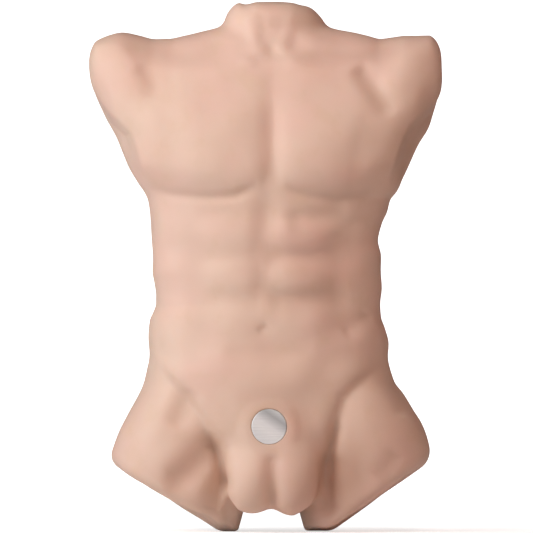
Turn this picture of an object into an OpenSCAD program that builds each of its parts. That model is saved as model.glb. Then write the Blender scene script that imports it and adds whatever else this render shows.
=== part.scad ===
// Life-size training torso: an elastomer skin over a two-part foam core and a
// tube frame, with a round socket in the groin that a steel-faced plug closes.
// +Z is up, the front faces -Y, and the origin is under the middle of the figure.

/* [Overall size] */
// Height from the two feet to the top of the neck stump
body_h = 700; // [600:10:840]
// Width across the shoulder stumps
body_w = 465; // [400:5:560]
// Depth from the front of the groin to the seat
body_d = 240; // [205:5:290]

/* [Skin and core] */
// Thickness of the elastomer skin over the foam core
skin_t = 25; // [20:1:30]
// Glue gap between the skin, the foam halves and what they hold
bond_gap = 0.3; // [0.2:0.1:0.5]
// Slope of the left thigh stump's end face
stump_slope_left = 32; // [28:1:36]
// Slope of the right thigh stump's end face
stump_slope_right = 36; // [32:1:40]

/* [Frame] */
// Outside diameter of the frame tubes
tube_d = 25; // [20:1:30]
// Wall of the frame tubes
tube_wall = 2; // [1.5:0.5:3]
// Wall of the cast tube fittings
fitting_wall = 4; // [3:0.5:5]
// Radial clearance of a tube in a fitting, or of an end cap in a tube
tube_gap = 0.1; // [0.1:0.05:0.3]
// Length of each socket of a fitting, from the fitting's centre
fitting_reach = 38; // [34:1:44]
// Foam left between the frame's ends and the skin
frame_margin = 22; // [16:1:28]
// Diameter of the end caps that keep the tubes from cutting the foam
cap_d = 42; // [36:1:48]
// Thickness of the end caps
cap_t = 5; // [4:1:8]
// Thread diameter of the set screws
set_screw_d = 6; // [5:1:8]

/* [Groin socket and plug] */
// Diameter of the plug's steel face
face_d = 46; // [42:1:52]
// Thickness of the steel face
face_t = 3; // [2:0.5:4]
// Inside diameter of the socket sleeve
socket_d = 38; // [34:1:40]
// Wall of the socket sleeve
socket_wall = 3; // [2.5:0.5:4]
// Depth of the socket's bore
socket_depth = 48; // [42:1:52]
// Thickness of the sleeve's end wall and anchor flange
flange_t = 6; // [5:1:7]
// Diameter of the sleeve's anchor flange
flange_d = 62; // [56:1:68]
// Radial clearance of the plug in the socket
plug_gap = 0.4; // [0.3:0.1:0.6]
// Section diameter of the plug's sealing rings
seal_d = 3; // [2.5:0.5:3.5]
// Plate thickness of the bracket that ties the socket to the frame
bracket_t = 3; // [2:0.5:4]
// Thread diameter of the bracket's bolts
bracket_bolt_d = 4; // [3:0.5:5]

/* [Hidden] */
$fn = 48;

// The rows below are drawn at this size [width, depth, height] and scaled to the driving sizes.
drawn = [465, 240, 700];
k = [body_w / drawn.x, body_d / drawn.y, body_h / drawn.z];

// Rows of the lofts: [height, left, right, front, back, squareness].
// Left and right are reaches from the middle plane, and squareness 2 is an ellipse.
TRUNK = [
    [658, 178, 180, 26, 36, 2.4],
    [652, 214, 214, 40, 54, 2.6],
    [641, 229, 229, 54, 70, 2.8],
    [620, 232.5, 232.5, 68, 84, 3],
    [598, 231, 232, 80, 92, 3],
    [575, 223, 231, 92, 99, 2.8],
    [545, 209, 219, 104, 104, 2.6],
    [512, 194, 204, 113, 105, 2.5],
    [475, 177, 187, 115, 101, 2.4],
    [440, 156, 167, 106, 94, 2.4],
    [400, 151, 154, 99, 84, 2.4],
    [350, 149, 153, 96, 73, 2.4],
    [305, 145, 151, 92, 66, 2.4],
    [265, 155, 157, 92, 70, 2.4],
    [225, 154, 161, 94, 86, 2.3],
    [185, 150, 158, 97, 104, 2.2],
    [145, 132, 144, 99, 108, 2.2],
    [116, 100, 112, 97, 98, 2.2],
    [90, 52, 64, 84, 76, 2.2]
];
NECK = [
    [600, 64, 84, 50, 62, 2.1],
    [650, 63, 83, 52, 62, 2.1],
    [667, 58, 79, 50, 60, 2.1],
    [682, 53, 71, 47, 56, 2.1],
    [692, 45, 61, 41, 50, 2.1],
    [698, 34, 42, 31, 38, 2.1],
    [700, 24, 30, 22, 28, 2.1]
];
// Rows of the thighs: [height, outer, inner, front, back, squareness].
THIGH_LEFT = [
    [238, 138, 62, 56, 54, 2.2],
    [205, 155, 34, 82, 92, 2.2],
    [172, 171, 10, 88, 108, 2.2],
    [136, 191, 5, 90, 112, 2.2],
    [104, 202, 12, 88, 108, 2.2],
    [60, 211, 20, 84, 102, 2.2],
    [20, 217, 29, 79, 94, 2.2],
    [-20, 221, 36, 75, 88, 2.2]
];
THIGH_RIGHT = [
    [238, 146, 62, 56, 54, 2.2],
    [205, 166, 34, 82, 92, 2.2],
    [172, 189, 12, 88, 108, 2.2],
    [136, 210, 16, 90, 112, 2.2],
    [104, 216, 25, 88, 108, 2.2],
    [60, 221, 34, 84, 102, 2.2],
    [20, 224, 43, 79, 94, 2.2],
    [-20, 226, 50, 75, 88, 2.2]
];
// Where each stump's end face meets the ground, and its slope after scaling
foot_edge_left = -62 * k.x;
foot_edge_right = 84 * k.x;
stump_angle_left = atan(tan(stump_slope_left) * k.z / k.x);
stump_angle_right = atan(tan(stump_slope_right) * k.z / k.x);

loft_n = 36;
thigh_n = 26;
far = 2 * max(body_w, body_h);
core_inset = skin_t + bond_gap;

midline = 8 * k.x;
shoulder_z = 600 * k.z;
pelvis_z = 165 * k.z;
neck_top_z = 652 * k.z;
neck_cap_d = 2 * (48 * k.y - skin_t - 2);
hip_x = 2 * fitting_reach + 2;
thigh_run = [122 * k.x - hip_x, -80 * k.z];
thigh_lean = atan2(thigh_run.x, -thigh_run.y);
thigh_len = norm(thigh_run);
shoulder_half = body_w / 2 - skin_t - frame_margin;

tube_r = tube_d / 2;
socket_r = tube_r + tube_gap;
fitting_r = socket_r + fitting_wall;
elbow_start = 10;
knuckle = 1.5;
cross_start = tube_r + 1;
cap_spigot = 14;
screw_head_d = 1.6 * set_screw_d;
screw_head_h = 3;
screw_gap = 0.1;
screw_at = (cross_start + fitting_reach) / 2 + 2;
room_r = max(cap_d / 2, fitting_r + screw_head_h) + 1.2;

plug_x = 5 * k.x;
plug_z = 140 * k.z;
face_y = -100 * k.y;
seat_y = face_y + face_t + 0.3;
sleeve_d = socket_d + 2 * socket_wall;
sleeve_len = socket_depth + flange_t;
plate_y = seat_y + sleeve_len + 0.1;
plate_h = pelvis_z + 14 - (plug_z - 18);
stem_w = 26;
stem_h = 18;
bolt_at = (sleeve_d + flange_d) / 4;
bolt_head_h = 2.5;
bolt_nut_h = 3.2;
plug_d = socket_d - 2 * plug_gap;
plug_len = socket_depth - 6;
seal_at = [9, 30];
seal_r = socket_d / 2 - 0.3 - seal_d / 2;
stud_d = 6;
washer_d = 14;
washer_t = 1.6;
nut_d = 11;
nut_h = 5;
pocket_d = 18;
pocket_h = 9;

function blend(a, b, c, d) = (9 * b + 9 * c - a - d) / 16;

// Puts one row between each pair, on a smooth curve through the rows.
function smooth_rows(rows) = [
    for (i = [0 : len(rows) - 2])
        each [rows[i], blend(rows[max(i - 1, 0)], rows[i], rows[i + 1], rows[min(i + 2, len(rows) - 1)])],
    rows[len(rows) - 1]
];

// A point of a rounded ring at angle a, from its four reaches.
function ring_point(a, left, right, front, back, square) = [
    (cos(a) < 0 ? -left : right) * pow(abs(cos(a)), 2 / square),
    (sin(a) < 0 ? -front : back) * pow(abs(sin(a)), 2 / square)
];

// A reach moved in by the inset, never shorter than a small core.
function reach(r, inset) = inset > 0 ? max(r, 1.3 * skin_t) - inset : r;

// Heights move towards the middle by the inset at both ends of the figure.
function inset_z(z, inset) = inset + z * k.z * (body_h - 2 * inset) / body_h;

function torso_rings(rows, inset) = [
    for (r = rows) [
        for (i = [0 : loft_n - 1])
            let (p = ring_point(360 * i / loft_n, reach(r[1] * k.x, inset), reach(r[2] * k.x, inset),
                                reach(r[3] * k.y, inset), reach(r[4] * k.y, inset), r[5]))
            [p.x, p.y, inset_z(r[0], inset)]
    ]
];

// side is -1 for the left thigh and 1 for the right.
function thigh_rings(rows, side, inset) = [
    for (r = rows)
        let (middle = side * (r[1] + r[2]) / 2 * k.x, half = (r[1] - r[2]) / 2 * k.x - inset) [
            for (i = [0 : thigh_n - 1])
                let (p = ring_point(360 * i / thigh_n, half, half,
                                    r[3] * k.y - inset, r[4] * k.y - inset, r[5]))
                [middle + p.x, p.y, r[0] * k.z]
        ]
];

// Joins rings of n points each, the highest first, into one closed solid.
module loft(rings, n) {
    m = len(rings);
    sides = [
        for (r = [0 : m - 2], i = [0 : n - 1])
            let (a = r * n + i, b = r * n + (i + 1) % n)
            each [[a, b, a + n], [b, b + n, a + n]]
    ];
    top = [for (i = [n - 1 : -1 : 0]) i];
    bottom = [for (i = [0 : n - 1]) (m - 1) * n + i];
    polyhedron([for (r = rings) each r], concat(sides, [top, bottom]));
}

// What lies beyond a thigh stump's end face, moved in by the inset.
module stump_cut(edge, lean, inset) {
    translate([edge, 0, 0])
        rotate([0, lean, 0])
            translate([-far, -far, inset - 2 * far])
                cube(2 * far);
}

module thigh(rows, side, edge, angle, inset) {
    difference() {
        loft(thigh_rings(smooth_rows(rows), side, inset), thigh_n);
        stump_cut(edge, -side * angle, inset);
        translate([-far, -far, inset - 2 * far]) cube(2 * far);
    }
}

module figure(inset) {
    rows = inset > 0 ? TRUNK : smooth_rows(TRUNK);
    loft(torso_rings(rows, inset), loft_n);
    loft(torso_rings([for (i = [len(NECK) - 1 : -1 : 0]) NECK[i]], inset), loft_n);
    thigh(THIGH_LEFT, -1, foot_edge_left, stump_angle_left, inset);
    thigh(THIGH_RIGHT, 1, foot_edge_right, stump_angle_right, inset);
}

module ellipsoid(at, radii) {
    translate([at.x * k.x, at.y * k.y, at.z * k.z])
        scale([radii.x * k.x, radii.y * k.y, radii.z * k.z])
            sphere(1, $fn = 26);
}

module seat_and_groin() {
    ellipsoid([-64, 48, 152], [74, 72, 84]);
    ellipsoid([78, 48, 152], [74, 72, 84]);
    ellipsoid([-20, -78, 68], [34, 42, 44]);
    ellipsoid([38, -78, 68], [34, 42, 44]);
    ellipsoid([9, -62, 100], [60, 39, 54]);
}

// A round bar along Y at the plug's axis, from y over the length.
module plug_bar(d, y, length) {
    translate([plug_x, y, plug_z])
        rotate([-90, 0, 0])
            cylinder(h = length, d = d);
}

// A round bar between two points of the frame's plane, given as [x, z].
module frame_bar(from, to, r) {
    run = to - from;
    translate([from.x, 0, from.y])
        rotate([0, atan2(run.x, run.y), 0])
            cylinder(h = norm(run), r = r);
}

module frame_tube(from, to) {
    run = (to - from) / norm(to - from);
    difference() {
        frame_bar(from, to, tube_r);
        frame_bar(from - run, to + run, tube_r - tube_wall);
    }
}

// An end cap on a tube that ends at the point, its outer face one cap_t further along the run.
module end_cap(at, run, d = cap_d) {
    frame_bar(at + 0.1 * run, at + (0.1 + cap_t) * run, d / 2);
    frame_bar(at - cap_spigot * run, at + (0.1 + cap_t) * run, tube_r - tube_wall - tube_gap);
}

// A set screw on the rear of a socket at [x, z], or the hole for one.
module set_screw(at, gap = 0) {
    translate([at.x, tube_r + 0.3 - 2 * gap, at.y])
        rotate([-90, 0, 0])
            cylinder(h = fitting_wall + tube_gap, d = set_screw_d + 2 * gap);
    if (gap == 0)
        translate([at.x, fitting_r + 0.2, at.y])
            rotate([-90, 0, 0])
                cylinder(h = screw_head_h, d = screw_head_d);
}

cross_at = [midline, shoulder_z];
tee_at = [midline, pelvis_z];
hip_at = [for (side = [-1, 1]) [midline + side * hip_x, pelvis_z]];
thigh_dir = [for (side = [-1, 1]) [side * sin(thigh_lean), -cos(thigh_lean)]];
cross_arms = [[-1, 0], [1, 0], [0, -1], [0, 1]];
tee_arms = [[-1, 0], [1, 0], [0, 1]];

// The room the frame needs in the foam.
module frame_room() {
    gap = 2 * bond_gap;
    frame_bar(tee_at, cross_at, tube_r + gap, $fn = 24);
    frame_bar(cross_at, [midline, neck_top_z], tube_r + gap, $fn = 24);
    frame_bar([-shoulder_half, shoulder_z], [shoulder_half, shoulder_z], tube_r + gap, $fn = 24);
    frame_bar(hip_at[0], hip_at[1], tube_r + gap, $fn = 24);
    for (arm = cross_arms)
        frame_bar(cross_at, cross_at + (fitting_reach + 1) * arm, room_r, $fn = 24);
    for (arm = tee_arms)
        frame_bar(tee_at, tee_at + (fitting_reach + 1) * arm, room_r, $fn = 24);
    for (i = [0, 1]) {
        side = 2 * i - 1;
        frame_bar(hip_at[i], hip_at[i] - [side * (fitting_reach + 1), 0], room_r, $fn = 24);
        frame_bar(hip_at[i], hip_at[i] + (fitting_reach + 1) * thigh_dir[i], room_r, $fn = 24);
        frame_bar(hip_at[i], hip_at[i] + thigh_len * thigh_dir[i], tube_r + gap, $fn = 24);
        cap_room(hip_at[i] + thigh_len * thigh_dir[i], thigh_dir[i]);
        cap_room([side * shoulder_half, shoulder_z], [side, 0]);
        translate([hip_at[i].x, 0, hip_at[i].y]) sphere(room_r, $fn = 24);
    }
    cap_room([midline, neck_top_z], [0, 1], neck_cap_d);
}

// Room for an end cap whose outer face is at the point.
module cap_room(at, run, d = cap_d) {
    frame_bar(at - (cap_t + 0.5) * run, at + 0.5 * run, d / 2 + 1, $fn = 24);
}

// The room the socket, its bracket and its bolts need in the foam.
module socket_room() {
    plug_bar(sleeve_d + 2, seat_y - 40, sleeve_len + 40, $fn = 36);
    plug_bar(flange_d + 3, seat_y + socket_depth - 4, flange_t + 5, $fn = 36);
    translate([plug_x - flange_d / 2 - 2, plate_y - 3, plug_z - 20])
        cube([flange_d + 4, bracket_t + 10, plate_h + 4]);
    translate([midline - stem_w / 2 - 1, plate_y, pelvis_z - stem_h / 2 - 1])
        cube([stem_w + 2, -plate_y, stem_h + 2]);
}

module torso_skin() {
    color([0.87, 0.71, 0.62])
        difference() {
            resize([body_w, body_d, body_h])
                difference() {
                    union() {
                        figure(0);
                        seat_and_groin();
                    }
                    figure(skin_t);
                    plug_bar(sleeve_d - 4, seat_y - 60, sleeve_len + 40);
                }
            plug_bar(sleeve_d + 2 * bond_gap, seat_y - 60, 60 + skin_t + 12);
            plug_bar(face_d + 1, seat_y - 60, 60 - 0.1);
        }
}
torso_skin();

module foam_half(side) {
    resize([body_w - 2 * core_inset, 0, 0])
        difference() {
            figure(core_inset);
            translate([-far, side < 0 ? -bond_gap / 2 : bond_gap / 2 - 2 * far, -far]) cube(2 * far);
            frame_room();
            socket_room();
        }
}

module foam_core_front() {
    color([0.93, 0.88, 0.72]) foam_half(-1);
}
foam_core_front();

module foam_core_rear() {
    color([0.9, 0.84, 0.68]) foam_half(1);
}
foam_core_rear();

module spine_tube() {
    color([0.7, 0.71, 0.73])
        frame_tube(tee_at + [0, cross_start], cross_at - [0, cross_start]);
}
spine_tube();

module neck_tube() {
    color([0.7, 0.71, 0.73])
        frame_tube(cross_at + [0, cross_start], [midline, neck_top_z - cap_t]);
}
neck_tube();

module shoulder_bar() {
    end = shoulder_half - cap_t;
    color([0.7, 0.71, 0.73]) frame_tube([-end, shoulder_z], [end, shoulder_z]);
}
shoulder_bar();

module pelvis_bar() {
    color([0.7, 0.71, 0.73]) frame_tube(hip_at[0] + [elbow_start, 0], hip_at[1] - [elbow_start, 0]);
}
pelvis_bar();

module thigh_tube(i) {
    color([0.7, 0.71, 0.73])
        frame_tube(hip_at[i] + elbow_start * thigh_dir[i], hip_at[i] + (thigh_len - cap_t) * thigh_dir[i]);
}

module thigh_tube_left() {
    thigh_tube(0);
}
thigh_tube_left();

module thigh_tube_right() {
    thigh_tube(1);
}
thigh_tube_right();

module shoulder_cross() {
    color([0.35, 0.36, 0.38])
        difference() {
            union() {
                frame_bar(cross_at - [fitting_reach, 0], cross_at + [fitting_reach, 0], fitting_r);
                frame_bar(cross_at - [0, fitting_reach], cross_at + [0, fitting_reach], fitting_r);
            }
            frame_bar(cross_at - [fitting_reach + 1, 0], cross_at + [fitting_reach + 1, 0], socket_r);
            frame_bar(cross_at - [0, fitting_reach + 1], cross_at + [0, fitting_reach + 1], socket_r);
            for (arm = cross_arms) set_screw(cross_at + screw_at * arm, screw_gap);
        }
}
shoulder_cross();

module pelvis_tee() {
    color([0.35, 0.36, 0.38])
        difference() {
            union() {
                frame_bar(tee_at - [fitting_reach, 0], tee_at + [fitting_reach, 0], fitting_r);
                frame_bar(tee_at, tee_at + [0, fitting_reach], fitting_r);
            }
            frame_bar(tee_at - [fitting_reach + 1, 0], tee_at + [fitting_reach + 1, 0], socket_r);
            frame_bar(tee_at, tee_at + [0, fitting_reach + 1], socket_r);
            for (arm = tee_arms) set_screw(tee_at + screw_at * arm, screw_gap);
        }
}
pelvis_tee();

module hip_elbow(i) {
    side = 2 * i - 1;
    arms = [[-side, 0], thigh_dir[i]];
    color([0.35, 0.36, 0.38])
        difference() {
            union() {
                for (arm = arms) frame_bar(hip_at[i], hip_at[i] + fitting_reach * arm, fitting_r);
                translate([hip_at[i].x, 0, hip_at[i].y]) sphere(fitting_r + knuckle);
            }
            for (arm = arms) {
                frame_bar(hip_at[i] + (elbow_start - 0.5) * arm,
                          hip_at[i] + (fitting_reach + 1) * arm, socket_r);
                set_screw(hip_at[i] + screw_at * arm, screw_gap);
            }
        }
}

module hip_elbow_left() {
    hip_elbow(0);
}
hip_elbow_left();

module hip_elbow_right() {
    hip_elbow(1);
}
hip_elbow_right();

module shoulder_set_screws() {
    color([0.2, 0.2, 0.22]) for (arm = cross_arms) set_screw(cross_at + screw_at * arm);
}
shoulder_set_screws();

module pelvis_set_screws() {
    color([0.2, 0.2, 0.22]) for (arm = tee_arms) set_screw(tee_at + screw_at * arm);
}
pelvis_set_screws();

module hip_set_screws() {
    color([0.2, 0.2, 0.22])
        for (i = [0, 1], arm = [[1 - 2 * i, 0], thigh_dir[i]])
            set_screw(hip_at[i] + screw_at * arm);
}
hip_set_screws();

module neck_cap() {
    color([0.15, 0.15, 0.16]) end_cap([midline, neck_top_z - cap_t], [0, 1], neck_cap_d);
}
neck_cap();

module shoulder_cap_left() {
    color([0.15, 0.15, 0.16]) end_cap([cap_t - shoulder_half, shoulder_z], [-1, 0]);
}
shoulder_cap_left();

module shoulder_cap_right() {
    color([0.15, 0.15, 0.16]) end_cap([shoulder_half - cap_t, shoulder_z], [1, 0]);
}
shoulder_cap_right();

module thigh_cap_left() {
    color([0.15, 0.15, 0.16]) end_cap(hip_at[0] + (thigh_len - cap_t) * thigh_dir[0], thigh_dir[0]);
}
thigh_cap_left();

module thigh_cap_right() {
    color([0.15, 0.15, 0.16]) end_cap(hip_at[1] + (thigh_len - cap_t) * thigh_dir[1], thigh_dir[1]);
}
thigh_cap_right();

// The two bolts of the bracket lie level with the plug's axis.
module bolt_bars(d, y, length) {
    for (side = [-1, 1])
        translate([side * bolt_at, 0, 0]) plug_bar(d, y, length);
}

module socket_sleeve() {
    color([0.86, 0.86, 0.84])
        difference() {
            union() {
                plug_bar(sleeve_d, seat_y, sleeve_len);
                plug_bar(flange_d, seat_y + socket_depth, flange_t);
            }
            plug_bar(socket_d, seat_y - 1, socket_depth + 1);
            plug_bar(4, seat_y, sleeve_len + 1);
            bolt_bars(bracket_bolt_d + 0.4, seat_y + socket_depth - 1, flange_t + 2);
        }
}
socket_sleeve();

module socket_bracket() {
    color([0.55, 0.56, 0.58])
        difference() {
            union() {
                translate([plug_x - flange_d / 2, plate_y, plug_z - 18])
                    cube([flange_d, bracket_t, plate_h]);
                translate([midline - stem_w / 2, plate_y, pelvis_z - stem_h / 2])
                    cube([stem_w, -plate_y - 4, stem_h]);
            }
            frame_bar(hip_at[0], hip_at[1], fitting_r + 0.1);
            frame_bar(tee_at, tee_at + [0, fitting_reach], fitting_r + 0.1);
            bolt_bars(bracket_bolt_d + 0.4, plate_y - 1, bracket_t + 2);
            plug_bar(8, plate_y - 1, bracket_t + 2);
        }
}
socket_bracket();

module bracket_bolts() {
    head_y = seat_y + socket_depth - bolt_head_h - 0.1;
    color([0.75, 0.75, 0.76]) {
        bolt_bars(1.9 * bracket_bolt_d, head_y, bolt_head_h);
        bolt_bars(bracket_bolt_d, head_y, bolt_head_h + 0.1 + flange_t + 0.1 + bracket_t + bolt_nut_h + 1);
    }
}
bracket_bolts();

module bracket_nuts() {
    color([0.6, 0.6, 0.62])
        difference() {
            for (side = [-1, 1])
                translate([plug_x + side * bolt_at, plate_y + bracket_t + 0.1, plug_z])
                    rotate([-90, 0, 0])
                        cylinder(h = bolt_nut_h, d = 2 * bracket_bolt_d, $fn = 6);
            bolt_bars(bracket_bolt_d + 0.2, plate_y, bracket_t + bolt_nut_h + 1);
        }
}
bracket_nuts();

module plug_face() {
    color([0.8, 0.8, 0.79]) {
        plug_bar(face_d, face_y + 0.6, face_t - 0.6);
        translate([plug_x, face_y, plug_z])
            rotate([-90, 0, 0])
                cylinder(h = 0.6, d1 = face_d - 1.2, d2 = face_d);
        plug_bar(stud_d, face_y + face_t, plug_len + 0.5);
    }
}
plug_face();

module plug_body() {
    front = face_y + face_t + 0.1;
    color([0.25, 0.26, 0.28])
        difference() {
            plug_bar(plug_d, front, plug_len);
            plug_bar(stud_d + 0.3, front - 1, plug_len + 2);
            plug_bar(pocket_d, front + plug_len - pocket_h, pocket_h + 1);
            for (s = seal_at)
                difference() {
                    plug_bar(plug_d + 2, front + s - seal_d / 2 - 0.2, seal_d + 0.4);
                    plug_bar(2 * seal_r - seal_d - 0.2, front + s - seal_d, 2 * seal_d);
                }
        }
}
plug_body();

module plug_seals() {
    color([0.1, 0.1, 0.1])
        for (s = seal_at)
            translate([plug_x, face_y + face_t + 0.1 + s, plug_z])
                rotate([-90, 0, 0])
                    rotate_extrude()
                        translate([seal_r, 0]) circle(d = seal_d);
}
plug_seals();

pocket_y = face_y + face_t + 0.1 + plug_len - pocket_h;

module plug_washer() {
    color([0.7, 0.7, 0.7])
        difference() {
            plug_bar(washer_d, pocket_y + 0.1, washer_t);
            plug_bar(stud_d + 0.4, pocket_y - 1, washer_t + 3);
        }
}
plug_washer();

module plug_nut() {
    color([0.6, 0.6, 0.62])
        difference() {
            translate([plug_x, pocket_y + washer_t + 0.2, plug_z])
                rotate([-90, 0, 0])
                    cylinder(h = nut_h, d = nut_d, $fn = 6);
            plug_bar(stud_d + 0.2, pocket_y, pocket_h);
        }
}
plug_nut();
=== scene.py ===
import math

import bmesh
import bpy
import numpy as np
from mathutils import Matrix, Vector


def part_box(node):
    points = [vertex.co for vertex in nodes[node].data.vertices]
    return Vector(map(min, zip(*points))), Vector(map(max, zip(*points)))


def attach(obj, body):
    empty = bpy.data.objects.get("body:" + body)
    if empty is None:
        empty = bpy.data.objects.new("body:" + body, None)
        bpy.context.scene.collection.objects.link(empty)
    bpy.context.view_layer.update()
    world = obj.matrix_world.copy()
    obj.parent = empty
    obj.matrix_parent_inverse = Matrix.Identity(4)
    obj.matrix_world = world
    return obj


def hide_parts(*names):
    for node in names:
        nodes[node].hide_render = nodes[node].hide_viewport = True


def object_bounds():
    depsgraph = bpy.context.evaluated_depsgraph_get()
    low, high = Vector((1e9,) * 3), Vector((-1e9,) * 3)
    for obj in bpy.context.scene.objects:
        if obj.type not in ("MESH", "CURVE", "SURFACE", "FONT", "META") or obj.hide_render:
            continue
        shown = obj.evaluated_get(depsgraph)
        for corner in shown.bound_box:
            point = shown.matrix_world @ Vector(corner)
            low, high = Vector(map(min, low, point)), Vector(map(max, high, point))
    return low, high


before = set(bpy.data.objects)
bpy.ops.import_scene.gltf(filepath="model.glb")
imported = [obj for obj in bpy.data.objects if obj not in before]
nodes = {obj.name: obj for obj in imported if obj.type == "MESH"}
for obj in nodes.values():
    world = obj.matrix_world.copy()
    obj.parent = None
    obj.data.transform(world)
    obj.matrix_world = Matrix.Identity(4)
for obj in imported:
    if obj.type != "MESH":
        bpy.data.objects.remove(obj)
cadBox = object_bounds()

lowCorner, highCorner = np.array(cadBox[0]), np.array(cadBox[1])
drawnSize = np.array([465.0, 240.0, 700.0])  # the figure below is drawn in mm at this size
toMetres = (highCorner - lowCorner) / drawnSize

# camera first: a long lens, level, square to the front
view = {"distance": 13.0, "aim": (0.0016, 0.350), "frameWidth": 0.7042, "lens": 340.0}
camera = bpy.data.objects.new("camera", bpy.data.cameras.new("camera"))
bpy.context.collection.objects.link(camera)
camera.data.lens = view["lens"]
camera.data.sensor_width = view["lens"] * view["frameWidth"] / view["distance"]
camera.data.clip_end = 60
camera.location = (view["aim"][0], -view["distance"], view["aim"][1])
camera.rotation_euler = (math.radians(90), 0, 0)
bpy.context.scene.camera = camera
bpy.context.scene.view_settings.view_transform = "Standard"
bpy.context.scene.view_settings.look = "None"


def curve(at, knots):  # a smooth curve through [place, value] pairs that never overshoots
    xs, ys = np.array(sorted(knots), float).T
    step = np.diff(xs)
    slope = np.diff(ys) / step
    tangent = np.zeros(len(xs))
    tangent[0], tangent[-1] = slope[0], slope[-1]
    both = slope[:-1] * slope[1:]
    wa, wb = 2 * step[1:] + step[:-1], step[1:] + 2 * step[:-1]
    safeA = np.where(both > 0, slope[:-1], 1)
    safeB = np.where(both > 0, slope[1:], 1)
    tangent[1:-1] = np.where(both > 0, (wa + wb) / (wa / safeA + wb / safeB), 0)
    at = np.clip(at, xs[0], xs[-1])
    i = np.clip(np.searchsorted(xs, at, side="right") - 1, 0, len(xs) - 2)
    t = (at - xs[i]) / step[i]
    return (ys[i] * (1 + 2 * t) * (1 - t) ** 2 + ys[i + 1] * t * t * (3 - 2 * t)
            + step[i] * (tangent[i] * t * (1 - t) ** 2 - tangent[i + 1] * t * t * (1 - t)))


def blendIn(a, b, k):  # union with a fillet of about k
    h = np.clip(0.5 + 0.5 * (b - a) / k, 0, 1)
    return b + (a - b) * h - k * h * (1 - h)


def cutWith(a, b, k):  # intersection with a rounded edge of about k
    return -blendIn(-a, -b, k)


def ramp(x, a, b):
    t = np.clip((x - a) / (b - a), 0, 1)
    return t * t * (3 - 2 * t)


def ringDistance(u, v, reachU, reachV, square):
    q = ((np.abs(u) / reachU) ** square + (np.abs(v) / reachV) ** square) ** (1 / square)
    q = np.maximum(q, 1e-3)
    return np.hypot(u, v) * (1 - 1 / q)


def ellipsoid(x, y, z, at, radii):
    u, v, w = x - at[0], y - at[1], z - at[2]
    a = np.sqrt((u / radii[0]) ** 2 + (v / radii[1]) ** 2 + (w / radii[2]) ** 2)
    b = np.sqrt((u / radii[0] ** 2) ** 2 + (v / radii[1] ** 2) ** 2 + (w / radii[2] ** 2) ** 2)
    return a * (a - 1) / np.maximum(b, 1e-6)


trunk = {
    "left": [(700, 240), (640, 242), (615, 243), (600, 240), (586, 233), (573, 225), (560, 217), (544, 209),
             (523, 198), (501, 189), (480, 180), (459, 167), (449, 160), (438, 155), (427, 153), (406, 151),
             (385, 149.5), (364, 148.5), (343, 149.5), (330, 147), (311, 144), (301, 144), (290, 148),
             (279, 153), (258, 155), (237, 153), (216, 150), (185, 142), (145, 124), (116, 94), (88, 48)],
    "right": [(700, 240), (640, 243), (600, 244), (586, 239), (573, 231), (554, 223), (533, 216), (512, 204),
              (491, 194), (470, 185), (449, 175), (438, 166), (422, 161), (406, 154), (385, 150), (364, 154),
              (343, 153), (322, 154), (301, 152), (284, 153), (269, 158), (248, 163), (227, 161), (206, 158),
              (185, 152), (145, 136), (116, 106), (88, 60)],
    "front": [(700, 56), (650, 70), (620, 84), (600, 91), (575, 97), (545, 103), (510, 105), (480, 104),
              (445, 100), (400, 97), (350, 95), (305, 93), (265, 93), (225, 95), (185, 98), (140, 98),
              (110, 90), (88, 76)],
    "back": [(700, 62), (650, 76), (620, 90), (600, 97), (575, 102), (545, 105), (512, 105), (475, 101),
             (440, 94), (400, 84), (350, 73), (305, 66), (265, 68), (225, 81), (185, 96), (140, 101),
             (116, 94), (88, 74)],
    "square": [(700, 2.7), (620, 2.7), (545, 2.5), (475, 2.35), (420, 2.15), (350, 2.1), (225, 2.15),
               (88, 2.2)],
    "ridge": [(-240, 626), (-231, 639), (-225, 647), (-218, 651), (-209, 655), (-190, 659), (-165, 655),
              (-144, 651), (-128, 651), (-107, 655), (-89, 659), (-73, 663), (-58, 667), (-30, 672), (0, 674),
              (45, 673), (80, 667), (97, 663), (119, 659), (136, 655), (152, 651), (170, 653), (185, 655),
              (216, 655), (224, 651), (231, 643), (240, 630)],
    "rollHalf": 84, "rollDrop": 58, "rollPower": 3.4, "ridgeBack": 10, "topRound": 9, "cutRound": 16,
    "shoulderAt": 625, "armCutLeft": (-232.5, 0.07), "armCutRight": (232.5, 0.0), "floorOfPelvis": 88,
}


def trunkField(x, y, z):
    reachX = np.where(x < 0, curve(z, trunk["left"]), curve(z, trunk["right"]))
    reachY = np.where(y < 0, curve(z, trunk["front"]), curve(z, trunk["back"]))
    d = ringDistance(x, y, reachX, reachY, curve(z, trunk["square"]))
    off = np.abs(y - trunk["ridgeBack"]) / trunk["rollHalf"]
    power = trunk["rollPower"]
    top = curve(x, trunk["ridge"]) - trunk["rollDrop"] * off ** power
    steep = trunk["rollDrop"] * power / trunk["rollHalf"] * off ** (power - 1)
    d = cutWith(d, (z - top) / np.sqrt(1 + steep * steep), trunk["topRound"])
    shoulderAt, cutRound = trunk["shoulderAt"], trunk["cutRound"]
    at, lean = trunk["armCutLeft"]
    d = cutWith(d, (at + (shoulderAt - z) * lean - x) / math.hypot(1, lean), cutRound)
    at, lean = trunk["armCutRight"]
    d = cutWith(d, x - at - (z - shoulderAt) * lean, cutRound)
    return cutWith(d, trunk["floorOfPelvis"] - z, cutRound)


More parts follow.
